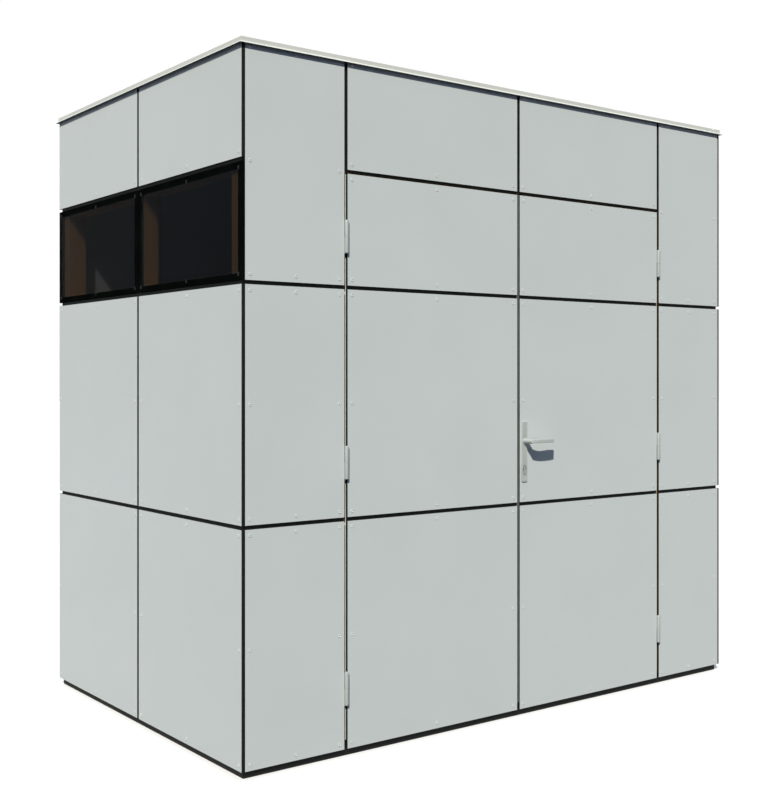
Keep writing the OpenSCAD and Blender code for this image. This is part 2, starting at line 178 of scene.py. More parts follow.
def birch_ply():
    """Birch plywood with clear floor lacquer: pale rotary-cut grain in wide lazy bands."""
    made, tree, shader = material("lacquered birch plywood", Roughness=0.38)
    speckle(tree, shader, "#B88F5E", "#CFAA78", (420, 60, 60), 6.0)
    grainy(tree, shader, (40, 2, 2), 0.05, 0.3)
    return made


def black_timber():
    """Softwood soaked in black stain: the grain only just shows as softer and harder black."""
    made, tree, shader = material("black stained softwood", Roughness=0.7,
                                  Specular_IOR_Level=0.2)
    speckle(tree, shader, "#0F1111", "#1A1B1B", (180, 180, 9))
    grainy(tree, shader, (120, 120, 3), 0.2, 0.5)
    return made


def sealing_tape():
    """Rubber sealing tape: dead black and matt, with a faint moulded pebble."""
    made, tree, shader = material("rubber sealing tape", Roughness=0.75, IOR=1.5,
                                  Specular_IOR_Level=0.18)
    speckle(tree, shader, "#0B0E0D", "#121514", (25, 25, 25))
    grainy(tree, shader, (2, 2, 2), 0.05, 0.4)
    return made


def grey_seal():
    """Extruded rubber door seal: dark grey, bloomed a little by the weather."""
    made, tree, shader = material("rubber door seal", Roughness=0.6, IOR=1.5)
    speckle(tree, shader, "#3B403C", "#434844", (12, 12, 60))
    return made


def roof_rubber():
    """A loose-laid rubber roof sheet: dark grey, with chalky patches and slow waves."""
    made, tree, shader = material("rubber roof sheet", Roughness=0.68,
                                  Specular_IOR_Level=0.3)
    speckle(tree, shader, "#2B2E2F", "#3A3E3F", (340, 340, 340), 6.0)
    grainy(tree, shader, (160, 160, 160), 3.0, 0.5, 4.0)
    return made


def powder_coat():
    """Aluminium sheet with an off-white polyester powder coat: satin, with a faint orange peel."""
    made, tree, shader = material("off-white powder coat", Roughness=0.38, IOR=1.5)
    speckle(tree, shader, "#BEC0B9", "#C3C5BE", (300, 300, 300))
    grainy(tree, shader, (2.5, 2.5, 2.5), 0.02, 0.3)
    return made


def trim_underside_shade():
    """Painted shade on the faces of the roof trim that look down: a dull dark grey."""
    made, tree, shader = material("painted shade on the trim faces that look down", Roughness=0.6, IOR=1.5,
                                  Specular_IOR_Level=0.2)
    speckle(tree, shader, "#2E3130", "#363938", (60, 60, 60))
    return made


def tinted_glass():
    """Dark tinted acrylic glazing: flat and smooth. The frame behind it only glimmers through,
    because a blue-black body hides more than half of it, and its gloss is held low."""
    made, tree, shader = material("dark tinted glazing", Roughness=0.04, IOR=1.45, Alpha=0.56,
                                  Specular_IOR_Level=0.01)
    speckle(tree, shader, "#0A0C0E", "#12161A", (700, 700, 700))
    return made


def pane_border():
    """The blacked-out rim of the glazing, which hides the tape and the timber behind it."""
    made, tree, shader = material("black painted rim of the glazing", Roughness=0.1, IOR=1.45,
                                  Specular_IOR_Level=0.0)
    speckle(tree, shader, "#060807", "#0B0D0C", (90, 90, 90))
    return made


def satin_metal(name, tone_low, tone_high, brushed_mm, metallic, roughness):
    """Satin metal, faintly streaked along the brush. Anodised aluminium is hardly metallic, a
    dull, milky grey with a broad soft gloss, and bare steel is metallic throughout."""
    made, tree, shader = material(name, Metallic=metallic, Roughness=roughness)
    speckle(tree, shader, tone_low, tone_high, brushed_mm, 4.0)
    grainy(tree, shader, brushed_mm, 0.02, 0.3)
    return made


def nickel_plate():
    """Matt nickel plate over brass: a plain grey, finely turned, with a soft shine."""
    made, tree, shader = material("matt nickel plate", Metallic=0.5, Roughness=0.42)
    speckle(tree, shader, "#8C8F8C", "#9A9C98", (3, 3, 3))
    return made


def hole_shade():
    """Painted shade that stands for the unlit inside of a keyway or of a strike's pocket."""
    made, tree, shader = material("keyway shadow", Roughness=0.8)
    speckle(tree, shader, "#0B0B0B", "#131312", (2, 2, 2))
    return made


def painted_screw(name, tone_low, tone_high, gloss):
    """Facade screw with a lacquered head, even in colour."""
    made, tree, shader = material(name, Roughness=0.3, Specular_IOR_Level=gloss)
    speckle(tree, shader, tone_low, tone_high, (6, 6, 6))
    return made


LAMINATE = compact_laminate()
CORE = laminate_core()
SPRUCE = [wood("planed spruce", axis, "#D4A873", "#C8985F", "#AC7943") for axis in (X, Y, Z)]
GLAZED = [wood("spruce, pale glaze", axis, "#E4E7D8", "#DBDECC", "#CBCEB8") for axis in (X, Y, Z)]
PLY = birch_ply()
STAINED = black_timber()
TAPE = sealing_tape()
SEAL = grey_seal()
MEMBRANE = roof_rubber()
COATED = powder_coat()
# painted shade for the faces of the roof trim that look down
TRIM_UNDERSIDE_SHADE = trim_underside_shade()
GLASS = tinted_glass()
PANE_RIM = pane_border()
HINGE_METAL = satin_metal("satin aluminium, turned", "#989E9C", "#A0A6A4", (60, 60, 1.2), 0.1, 0.5)
HANDLE_METAL = satin_metal("satin aluminium, brushed", "#A1A7A3", "#A9AFAB",
                           (1.2, 1.2, 60), 0.12, 0.45)
FACE_STEEL = satin_metal("stainless steel, brushed upright", "#B0B2B0", "#C2C4C2",
                         (1.5, 1.5, 90), 1.0, 0.34)
PLATED = nickel_plate()
HOLE_SHADE = hole_shade()
PANEL_SCREW = painted_screw("screw head, panel grey lacquer", "#B4BABA", "#C0C6C5", 0.5)
PANE_SCREW = painted_screw("screw head, dark lacquer", "#121414", "#1A1C1C", 0.08)


# ---------------------------------------------------------------- mesh helpers

# corners nearer than this are one, faces that turn less than this are one flat face, and edges that
# turn more than this are sharp
JOIN_DISTANCE = 1e-5
FLAT_DEG = 0.5
SHARP_DEG = 30


def shape(name, bm, materials, smooth_angle=None):
    """Makes an object of a bmesh, with its place in its mesh."""
    bmesh.ops.recalc_face_normals(bm, faces=bm.faces)
    mesh = bpy.data.meshes.new(name)
    bm.to_mesh(mesh)
    bm.free()
    made = bpy.data.objects.new(name, mesh)
    bpy.context.scene.collection.objects.link(made)
    for m in materials:
        mesh.materials.append(m)
    if smooth_angle is not None:
        mesh.shade_smooth()
        mesh.set_sharp_from_angle(angle=math.radians(smooth_angle))
    return made


def cad_copy(node):
    """The node's own solids as a bmesh with joined corners and whole flat faces."""
    bm = bmesh.new()
    bm.from_mesh(frame["nodes"][node].data)
    bmesh.ops.remove_doubles(bm, verts=bm.verts, dist=JOIN_DISTANCE)
    bmesh.ops.dissolve_limit(bm, angle_limit=math.radians(FLAT_DEG), verts=bm.verts,
                             edges=bm.edges)
    return bm


def eased(bm, width, segments=2, min_length=0.02):
    """Rounds the sharp edges longer than min_length by width."""
    edges = [e for e in bm.edges
             if e.is_manifold and e.calc_face_angle(0) > math.radians(SHARP_DEG)
             and e.calc_length() > min_length]
    bmesh.ops.bevel(bm, geom=edges, offset=width, segments=segments, profile=0.5,
                    affect="EDGES", clamp_overlap=True)
    return bm


def solids(node):
    """(lowest corner, highest corner) of each separate solid in a node."""
    bm = cad_copy(node)
    bm.verts.ensure_lookup_table()
    seen = set()
    found = []
    for start in bm.verts:
        if start.index in seen:
            continue
        group = [start]
        seen.add(start.index)
        for v in group:
            for e in v.link_edges:
                other = e.other_vert(v)
                if other.index not in seen:
                    seen.add(other.index)
                    group.append(other)
        low = Vector([min(v.co[a] for v in group) for a in (X, Y, Z)])
        high = Vector([max(v.co[a] for v in group) for a in (X, Y, Z)])
        found.append((low, high))
    bm.free()
    return sorted(found, key=lambda s: tuple(round(c, 4) for c in s[0]))


def dress(piece, body, slot, *nodes):
    """Rides a finished piece on its body, in the place of these nodes."""
    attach(piece, body)
    if nodes:
        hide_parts(*nodes)


def finish_node(node, finish):
    """Gives one finish to a node that is shown as it is packed."""
    finishes = frame["nodes"][node].data.materials
    finishes.clear()
    finishes.append(finish)


# ---------------------------------------------------------------- plain timbers, boards and sheets

# rounded edges of a timber, a sheet board and the roof trim
TIMBER_EDGE = 1.5 * MM
SHEET_EDGE = 1.0 * MM
TRIM_EDGE = 0.4 * MM
# a face whose normal's upward part is below this looks down, and on the roof trim it is painted in
# shade
LOOKS_DOWN = -0.2


def dress_timber(node, body, along, woods=SPRUCE):
    """A node of planed timbers, with eased corners and the grain along one axis."""
    piece = shape(node + "_planed", eased(cad_copy(node), TIMBER_EDGE), [woods[along]])
    dress(piece, body, "frame_timber", node)


def dress_plain(node, slot, finish, width, name):
    """A node of the shed's body with eased edges in one finish."""
    dress(shape(name, eased(cad_copy(node), width), [finish]), "shed", slot, node)


for node, along in (("corner_posts", Z), ("door_posts", Z), ("side_studs", Z), ("back_studs", Z),
                    ("door_header", X), ("door_stops", X), ("front_side_rails", X),
                    ("back_wall_rails", X), ("side_wall_rails", Y), ("top_beams_front_back", X),
                    ("top_beams_sides", Y), ("roof_joists", Y)):
    dress_timber(node, "shed", along)
for side in ("left_door", "right_door"):
    dress_timber(side + "_stiles", side, Z, GLAZED)
    dress_timber(side + "_rails", side, X, GLAZED)
for node in ("base_front_back", "base_sides", "floor_joists"):
    dress_plain(node, "base_timber", STAINED, TIMBER_EDGE, node + "_stained")
for node in ("floor_board", "roof_deck"):
    dress_plain(node, "sheet_board", PLY, SHEET_EDGE, node + "_ply")
for node in ("joint_tapes", "left_door_tape", "right_door_tape"):
    finish_node(node, TAPE)
finish_node("roof_membrane", MEMBRANE)


def dress_trim(node):
    """A length of roof trim, powder coated, with painted shade on the faces that look down."""
    bm = eased(cad_copy(node), TRIM_EDGE)
    for face in bm.faces:
        # faces that look down are painted dark grey as shade
        face.material_index = 1 if face.normal.z < LOOKS_DOWN else 0
    dress(shape(node + "_coated", bm, [COATED, TRIM_UNDERSIDE_SHADE]), "shed", "roof_trim", node)


dress_trim("roof_trim_front_back")
dress_trim("roof_trim_sides")


# ---------------------------------------------------------------- wall panels and window panes

# chamfer of a panel's edges, and the shortest edge that has one
PANEL_CHAMFER = 0.6 * MM
PANEL_EDGE_MIN = 0.1
# cosine of the greatest angle between the way out and the normal of a panel's two broad faces
LOOKS_OUT = 0.95
# rounded edges of a window pane, the width of its blacked-out rim, and an area in square metres
# that only its two broad faces exceed
PANE_EDGE = 0.8 * MM
PANE_RIM_W = 21 * MM
PANE_FACE_AREA = 0.1


def dress_panels(node, body, out):
    """Laminate panels with chamfered edges that show the dark core."""
    bm = eased(cad_copy(node), PANEL_CHAMFER, 1, PANEL_EDGE_MIN)
    for face in bm.faces:
        face.material_index = 0 if abs(face.normal.dot(out)) > LOOKS_OUT else 1
    dress(shape(node + "_laminate", bm, [LAMINATE, CORE]), body, "wall_panel", node)


for node, body, out in (("front_side_cladding", "shed", OUT_FRONT),
                        ("front_top_cladding", "shed", OUT_FRONT),
                        ("left_cladding", "shed", OUT_LEFT), ("right_cladding", "shed", OUT_RIGHT),
                        ("back_cladding", "shed", OUT_BACK),
                        ("left_door_cladding", "left_door", OUT_FRONT),
                        ("right_door_cladding", "right_door", OUT_FRONT)):
    dress_panels(node, body, out)


def dress_panes():
    """Window panes with a blacked-out rim."""
    bm = eased(cad_copy("window_panes"), PANE_EDGE)
    clear = [face for face in bm.faces if face.calc_area() > PANE_FACE_AREA]
    for face in bm.faces:
        face.material_index = 1
    bmesh.ops.inset_individual(bm, faces=clear, thickness=PANE_RIM_W, use_even_offset=True)
    for face in clear:
        face.material_index = 0
    dress(shape("window_panes_glass", bm, [GLASS, PANE_RIM]), "shed", "tinted_glass",
          "window_panes")


dress_panes()


# ---------------------------------------------------------------- screws

# the sizes that each set of screws is given, and a socket's radius as a share of the head's
SCREW_SIZES = ("Head radius", "Rim height", "Dome height", "Socket depth")
SOCKET_SHARE = 0.5
# edges of a screw's head that turn less than this are smooth
SCREW_SMOOTH_DEG = 35


def screw_tree():
    """Geometry Nodes that put a domed screw head with a socket on each point, facing as the
    point's "facing" vector says."""
    tree = bpy.data.node_groups.new("screw heads", "GeometryNodeTree")
    interface = tree.interface
    interface.new_socket("Geometry", in_out="INPUT", socket_type="NodeSocketGeometry")
    for name in SCREW_SIZES:
        interface.new_socket(name, in_out="INPUT", socket_type="NodeSocketFloat")
    interface.new_socket("Finish", in_out="INPUT", socket_type="NodeSocketMaterial")
    interface.new_socket("Geometry", in_out="OUTPUT", socket_type="NodeSocketGeometry")
    given = add(tree, "NodeGroupInput")
    head = add(tree, "GeometryNodeMeshCylinder",
               {"Vertices": 16, "Side Segments": 1, "Fill Segments": 5,
                "Radius": given.outputs["Head radius"], "Depth": given.outputs["Rim height"]},
               fill_type="TRIANGLE_FAN")
    place = add(tree, "GeometryNodeInputPosition")
    parts = add(tree, "ShaderNodeSeparateXYZ", {"Vector": place.outputs["Position"]})
    flat = add(tree, "ShaderNodeCombineXYZ", {"X": parts.outputs["X"], "Y": parts.outputs["Y"]})
    reach = add(tree, "ShaderNodeVectorMath", {0: flat.outputs["Vector"]}, operation="LENGTH")
    share = add(tree, "ShaderNodeMath",
                {0: reach.outputs["Value"], 1: given.outputs["Head radius"]}, operation="DIVIDE")
    square = add(tree, "ShaderNodeMath", {0: share.outputs[0], 1: 2.0}, operation="POWER")
    rest = add(tree, "ShaderNodeMath", {0: 1.0, 1: square.outputs[0]}, operation="SUBTRACT")
    dome = add(tree, "ShaderNodeMath",
               {0: rest.outputs[0], 1: given.outputs["Dome height"]}, operation="MULTIPLY")
    inner = add(tree, "ShaderNodeMath", {0: share.outputs[0], 1: SOCKET_SHARE},
                operation="LESS_THAN")
    sunk = add(tree, "ShaderNodeMath",
               {0: inner.outputs[0], 1: given.outputs["Socket depth"]}, operation="MULTIPLY")
    lift = add(tree, "ShaderNodeMath", {0: dome.outputs[0], 1: sunk.outputs[0]},
               operation="SUBTRACT")
    above = add(tree, "ShaderNodeMath", {0: parts.outputs["Z"], 1: 0.0}, operation="GREATER_THAN")
    raised = add(tree, "ShaderNodeMath", {0: lift.outputs[0], 1: above.outputs[0]},
                 operation="MULTIPLY")
    offset = add(tree, "ShaderNodeCombineXYZ", {"Z": raised.outputs[0]})
    domed = add(tree, "GeometryNodeSetPosition",
                {"Geometry": head.outputs["Mesh"], "Offset": offset.outputs["Vector"]})
    facing = add(tree, "GeometryNodeInputNamedAttribute", {"Name": "facing"},
                 data_type="FLOAT_VECTOR")
    turn = add(tree, "FunctionNodeAlignRotationToVector",
               {"Vector": facing.outputs["Attribute"]}, axis="Z")
    placed = add(tree, "GeometryNodeInstanceOnPoints",
                 {"Points": given.outputs["Geometry"], "Instance": domed.outputs["Geometry"],
                  "Rotation": turn.outputs["Rotation"]})
    real = add(tree, "GeometryNodeRealizeInstances", {"Geometry": placed.outputs["Instances"]})
    finished = add(tree, "GeometryNodeSetMaterial",
                   {"Geometry": real.outputs["Geometry"], "Material": given.outputs["Finish"]})
    add(tree, "NodeGroupOutput", {"Geometry": finished.outputs["Geometry"]})
    return tree


SCREWS = screw_tree()


def screws(name, points, finish, sizes_mm):
    """Screw heads as one plain mesh. Points are (place, facing) pairs, and sizes_mm are in the
    order of SCREW_SIZES."""
    mesh = bpy.data.meshes.new(name + " points")
    mesh.from_pydata([p for p, _ in points], [], [])
    facing = mesh.attributes.new("facing", "FLOAT_VECTOR", "POINT")
    for i, (_, out) in enumerate(points):
        facing.data[i].vector = out
    made = bpy.data.objects.new(name, mesh)
    bpy.context.scene.collection.objects.link(made)
    modifier = made.modifiers.new("screw heads", "NODES")
    modifier.node_group = SCREWS
    sockets = {s.name: s.identifier for s in SCREWS.interface.items_tree if s.in_out == "INPUT"}
    for label, size in zip(SCREW_SIZES, sizes_mm):
        modifier[sockets[label]] = size * MM
    modifier[sockets["Finish"]] = finish
    bpy.context.view_layer.update()
    evaluated = made.evaluated_get(bpy.context.evaluated_depsgraph_get())
    plain = bpy.data.meshes.new_from_object(evaluated)
    made.modifiers.clear()
    made.data = plain
    plain.name = name
    for attribute in [a for a in plain.attributes if a.name == "facing"]:
        plain.attributes.remove(attribute)
    plain.shade_smooth()
    plain.set_sharp_from_angle(angle=math.radians(SCREW_SMOOTH_DEG))
    return made


# sizes of a panel's screws, and the middle of a screw from the panel's edges
PANEL_SCREW_MM = (6.0, 0.9, 1.5, 1.6)
SCREW_INSET = 19 * MM
# a panel higher than this also has a screw half way up each upright edge
FULL_HEIGHT = 500 * MM


def panel_screws(low, high, out):
    """Screw places on one panel: its corners, the middle of each long edge, and on a panel of
    full size the middle of its upright edges too."""
    across = X if out.y else Y
    face = (high if sum(out) > 0 else low)[1 - across]
    height = high.z - low.z
    columns = [low[across] + SCREW_INSET, (low[across] + high[across]) / 2,
               high[across] - SCREW_INSET]
    rows = [low.z + SCREW_INSET, high.z - SCREW_INSET]
    found = [(c, r) for c in columns for r in rows]
    if height > FULL_HEIGHT:
        found += [(c, (rows[0] + rows[1]) / 2) for c in (columns[0], columns[2])]
    points = []
    for c, r in found:
        place = [0, 0, r]
        place[across] = c
        place[1 - across] = face
        points.append((Vector(place), out))
    return points


def wall_screws(nodes_out):
    """Screw places on every panel of these nodes, each given with its way out."""
    return [p for node, out in nodes_out for low, high in solids(node)
            for p in panel_screws(low, high, out)]


for name, body, finish, walls in (
        ("wall_panel_screws", "shed", PANEL_SCREW,
         (("front_side_cladding", OUT_FRONT), ("front_top_cladding", OUT_FRONT),
          ("left_cladding", OUT_LEFT), ("right_cladding", OUT_RIGHT),
          ("back_cladding", OUT_BACK))),
        ("window_pane_screws", "shed", PANE_SCREW, (("window_panes", OUT_LEFT),)),
        ("left_door_screws", "left_door", PANEL_SCREW, (("left_door_cladding", OUT_FRONT),)),
        ("right_door_screws", "right_door", PANEL_SCREW, (("right_door_cladding", OUT_FRONT),))):
    dress(screws(name, wall_screws(walls), finish, PANEL_SCREW_MM), body, "wall_panel")


# ---------------------------------------------------------------- turned and swept shapes

# points round a turned shape
TURN_STEPS = 40


def skinned(bm, rings):
    """Joins rings with the same number of points into a closed skin with flat ends."""
    loops = [[bm.verts.new(p) for p in ring] for ring in rings]
    for a, b in zip(loops, loops[1:]):
        for i in range(len(a)):
            j = (i + 1) % len(a)
            bm.faces.new((a[i], a[j], b[j], b[i]))
    bm.faces.new(loops[0])
    bm.faces.new(loops[-1])


def turned(bm, profile, centre, axis):
    """A shape turned about an axis through centre. Profile is (radius, height) from end to end."""
    turn = Vector(axis).to_track_quat("Z", "Y").to_matrix()
    rings = [[Vector(centre) + turn @ Vector((r * math.cos(a), r * math.sin(a), h))
              for a in (2 * math.pi * i / TURN_STEPS for i in range(TURN_STEPS))]
             for r, h in profile]
    skinned(bm, rings)


def rounded(radius, low, high, edge, steps=4):
    """The profile of a round bar with rounded ends."""
    arc = [(1 - math.cos(math.pi / 2 * i / steps), math.sin(math.pi / 2 * i / steps))
           for i in range(steps + 1)]
    lower = [(radius - edge + edge * b, low + edge * a) for a, b in arc]
    upper = [(r, high - (h - low)) for r, h in reversed(lower)]
    return lower + upper


def block(bm, corner, opposite, width, segments=2):
    """A box between two opposite corners, with its edges rounded by width."""
    low = Vector([min(pair) for pair in zip(corner, opposite)])
    high = Vector([max(pair) for pair in zip(corner, opposite)])
    place = Matrix.Translation((low + high) / 2) @ Matrix.Diagonal((*(high - low), 1))
    made = bmesh.ops.create_cube(bm, size=1, matrix=place)
    edges = {e for v in made["verts"] for e in v.link_edges}
    bmesh.ops.bevel(bm, geom=list(edges), offset=width, segments=segments, profile=0.5,
                    affect="EDGES")


# ---------------------------------------------------------------- hinges

# rounding of a barrel's free end and of the end that meets the other half
BARREL_EDGE = 2.5 * MM
KNUCKLE_EDGE = 0.4 * MM
# a hinge plate: its outer face from the barrel's axis, its thickness and its rounded edges
PLATE_OUTER = 6 * MM
PLATE_THICK = 2.5 * MM
PLATE_ROUND = 0.5 * MM
# its screws: their sizes, their distance from its back edge and their places up it
HINGE_SCREW_MM = (4.0, 0.2, 0.3, 1.0)
HINGE_SCREW_IN = 12 * MM
HINGE_SCREW_UP = (0.25, 0.75)


def hinge_halves(node, body, upper):
    """Turned hinge barrels with rounded tips, each with the plate that it is rolled from and the
    plate's two countersunk screws."""
    bm = bmesh.new()
    plate_screws = []
    lowest, highest = solids("left_door_hinges")[0]
    barrel_h = highest.z - lowest.z
    for low, high in solids(node):
        radius = (high.x - low.x) / 2
        axis_x = (low.x + high.x) / 2
        axis_y = low.y + radius
        top = low.z + barrel_h
        tip = rounded(radius, low.z, top, BARREL_EDGE)
        half = len(tip) // 2
        knuckle = [(radius - KNUCKLE_EDGE, low.z), (radius, low.z + KNUCKLE_EDGE)]
        if upper:
            profile = knuckle + tip[half:]
        else:
            profile = tip[:half] + [(r, top - (h - low.z)) for r, h in reversed(knuckle)]
        turned(bm, profile, (axis_x, axis_y, 0), UP)
        # the leaf's plate lies toward the middle of the shed, and the frame's away from it
        toward = -1 if (axis_x > 0) == upper else 1
        outer = axis_x + toward * PLATE_OUTER
        inner = outer - toward * PLATE_THICK
        block(bm, (outer, axis_y, low.z), (inner, high.y, top), PLATE_ROUND, 1)
        for up in HINGE_SCREW_UP:
            plate_screws.append((Vector((inner, high.y - HINGE_SCREW_IN, low.z + barrel_h * up)),
                                 Vector((-toward, 0, 0))))
    dress(shape(node + "_turned", bm, [HINGE_METAL], smooth_angle=35), body, "hinge_steel", node)
    dress(screws(node + "_screws", plate_screws, HINGE_METAL, HINGE_SCREW_MM), body, "hinge_steel")


hinge_halves("hinge_frame_halves", "shed", False)
hinge_halves("left_door_hinges", "left_door", True)
hinge_halves("right_door_hinges", "right_door", True)


# ---------------------------------------------------------------- handle and lock

LEVER_AXIS = Vector(next(j["pos_m"] for j in frame["record"]["behaviour"]["joints"]
                         if j["name"] == "lever_turn"))
PLATES = solids("door_backplates")
PLATE_T = PLATES[0][1].y - PLATES[0][0].y
# how square a section of the lever is: 2 is round, and more is squarer
ROUND = 2
# the lever's arm: half its height, how far its middle lies above the neck's, and how square it is;
# and the neck's half height and squareness where it meets the arm
ARM_HALF_H = 7.0 * MM
ARM_RISE = 0.8 * MM
ARM_SQUARE = 12
NECK_END_HALF_H = 7.8 * MM
NECK_END_SQUARE = 2.4
# the arm's outer and inner outlines: mm from the door, in powers of the distance from the lever's
# axis as a share of LINE_UNIT
OUTER_LINE = (54.2, 20.1, -53.2, 59.5, -27.1)
INNER_LINE = (19.9, 94.8, -193.4, 158.6, -45.7)
LINE_UNIT = 0.1
# the neck: its two sides from the axis, where it starts and ends to widen into the arm's root,
# and how far that root reaches toward the tip
NECK_SIDES = (8.8 * MM, 9.8 * MM)
WIDENING = (8 * MM, 14 * MM)
ROOT_X = 17 * MM
# rounding of the neck's outer corner, of the root's inner corner and of the tip, and the slant of
# the tip's cut
OUTER_BEND = 1.6 * MM
INNER_BEND = 2.5 * MM
TIP_ROUND = 1.6 * MM
TIP_SLANT = 17.6 * MM
# sections along the lever's neck, its bend, its arm and its rounded tip, and points round each
NECK_STEPS = 8
BEND_STEPS = 5
ARM_STEPS = 24
TIP_STEPS = 4
SECTION_STEPS = 36
# the collar round the neck: (how far past the neck, how far out)
COLLAR = ((1.6 * MM, 0), (1.6 * MM, 1.2 * MM), (1.1 * MM, 1.7 * MM), (0, 1.8 * MM))
# the backplates: hole round the neck, gap below the lever's collar, gap round the lock cylinder,
# clipped corners, rounded edges, the screws' distance from each end and their sizes, and the points
# round the neck's hole
NECK_HOLE = 10.9 * MM
COLLAR_GAP = 0.15 * MM
LOCK_GAP = 0.8 * MM
CLIP = 4.5 * MM
PLATE_EDGE = 0.8 * MM
PLATE_SCREW_IN = 12 * MM
PLATE_SCREW_MM = (3.4, 0.2, 0.5, 1.2)
HOLE_STEPS = 36
# the backplates' domed rim: its width, how much of the plate's side stays upright, and the least
# lift of a point that is moved
RIM_W = 3.4 * MM
RIM_SIDE = 0.5 * MM
LIFT_MIN = -0.01
# the lock cylinder's radius, the width of its fin, and its height; and its rounded edges, with the
# shortest edge that has one
LOCK_SIZE = (8.5 * MM, 10 * MM, 33 * MM)
LOCK_EDGE = 0.4 * MM
LOCK_EDGE_MIN = 0.004
# the lock's turned plug: (share of the cylinder's radius, how far out of its face)
PLUG = ((0.78, -0.5 * MM), (0.78, 0.3 * MM), (0.7, 0.5 * MM), (0.62, 0.3 * MM))
# the keyway's block of painted shade: half its width and height, how far it stands out of the face,
# and its rounded edges
KEYWAY_HALF_W = 1.1 * MM
KEYWAY_HALF_H = 3.9 * MM
KEYWAY_OUT = 0.45 * MM
KEYWAY_EDGE = 0.2 * MM
# the plates in the leaves' edges: points round each end, the screws' distance from each end in half
# widths and their sizes, how far the latch and the bolt stand out, and their rounded edges
END_STEPS = 16
EDGE_SCREW_IN = 1.1
EDGE_SCREW_MM = (3.6, 0.1, 0.3, 1.0)
BOLT_OUT = 0.4 * MM
BOLT_EDGE = 0.15 * MM
# half the height and half the width of the latch and of the bolt, and the bolt's height above the
# plate's lower end
LATCH_HALF = (16 * MM, 7 * MM)
BOLT_HALF = (14 * MM, 6 * MM)
BOLT_UP = 55 * MM


def from_door(line, x):
    """How far one of the arm's outlines lies from the door, at x from the lever's axis."""
    return MM * sum(c * (x / LINE_UNIT) ** n for n, c in enumerate(line))


def lever_sections(neck, arm):
    """Sections from the door to the tip. Each has a point on the outer outline and one on the
    inner, as (along, out), with the section's half height, its squareness and its rise."""
    left, right = NECK_SIDES
    start, end = WIDENING
    top = from_door(OUTER_LINE, -left)
    under = from_door(INNER_LINE, ROOT_X)
    found = [((-left, d), (right, d), neck, ROUND, 0) for d in (0, start)]
    for i in range(1, NECK_STEPS + 1):
        share = i / NECK_STEPS
        d_in = start + (under - INNER_BEND - start) * share
        d_out = start + (top - OUTER_BEND - start) * share
        wide = min(1, (d_in - start) / (end - start))
        wide = wide * wide * (3 - 2 * wide)
        found.append(((-left, d_out), (right + (ROOT_X - right) * wide, d_in),
                      neck + (NECK_END_HALF_H - neck) * share,
                      ROUND + (NECK_END_SQUARE - ROUND) * share, 0))
    for i in range(1, BEND_STEPS + 1):
        share = i / BEND_STEPS
        a = math.pi / 2 * share
        outer = (-left + OUTER_BEND * (1 - math.cos(a)), top - OUTER_BEND * (1 - math.sin(a)))
        inner = (ROOT_X + INNER_BEND * (1 - math.cos(a)), under - INNER_BEND * (1 - math.sin(a)))
        found.append((outer, inner, NECK_END_HALF_H + (ARM_HALF_H - NECK_END_HALF_H) * share,
                      NECK_END_SQUARE + (ARM_SQUARE - NECK_END_SQUARE) * share, ARM_RISE * share))
    for i in range(1, ARM_STEPS + 1):
        share = i / ARM_STEPS
        x_out = -left + OUTER_BEND + (arm - TIP_SLANT - TIP_ROUND + left - OUTER_BEND) * share
        x_in = ROOT_X + INNER_BEND + (arm - TIP_ROUND - ROOT_X - INNER_BEND) * share
        found.append(((x_out, from_door(OUTER_LINE, x_out)), (x_in, from_door(INNER_LINE, x_in)),
                      ARM_HALF_H, ARM_SQUARE, ARM_RISE))
    for i in range(1, TIP_STEPS + 1):
        a = math.pi / 2 * i / TIP_STEPS
        x_in = arm - TIP_ROUND * (1 - math.sin(a))
        x_out = x_in - TIP_SLANT
        less = TIP_ROUND * (1 - math.cos(a))
        found.append(((x_out, from_door(OUTER_LINE, x_out) - less),
                      (x_in, from_door(INNER_LINE, x_in) + less),
                      ARM_HALF_H - less, ARM_SQUARE, ARM_RISE))
    return found


def lever(node, out):
    """A lever forged from one bar: a round neck that widens into an arm of nearly square section,
    bowed away from the door, with its tip cut on a slant."""
    low, high = (Vector(c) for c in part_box(node))
    foot = low.y if out > 0 else high.y
    neck = LEVER_AXIS.x - low.x
    rings = []
    for outer, inner, half_h, square, rise in lever_sections(neck, high.x - LEVER_AXIS.x):
        centre = (Vector(outer) + Vector(inner)) / 2
        half = (Vector(outer) - Vector(inner)) / 2
        ring = []
        for k in range(SECTION_STEPS):
            a = 2 * math.pi * k / SECTION_STEPS
            u = math.copysign(abs(math.cos(a)) ** (2 / square), math.cos(a))
            w = math.copysign(abs(math.sin(a)) ** (2 / square), math.sin(a)) * half_h + rise
            place = centre + half * u
            ring.append((LEVER_AXIS.x + place.x, foot + out * place.y, LEVER_AXIS.z + w))
        rings.append(ring)
    bm = bmesh.new()
    skinned(bm, rings)
    turned(bm, [(neck + past, PLATE_T + COLLAR_GAP + h) for past, h in COLLAR],
           (LEVER_AXIS.x, foot, LEVER_AXIS.z), (0, out, 0))
    dress(shape(node + "_bent", bm, [HANDLE_METAL], smooth_angle=40), "door_lever", "handle_steel",
          node)


lever("lever_outside", -1)
lever("lever_inside", 1)
finish_node("lever_spindle", FACE_STEEL)


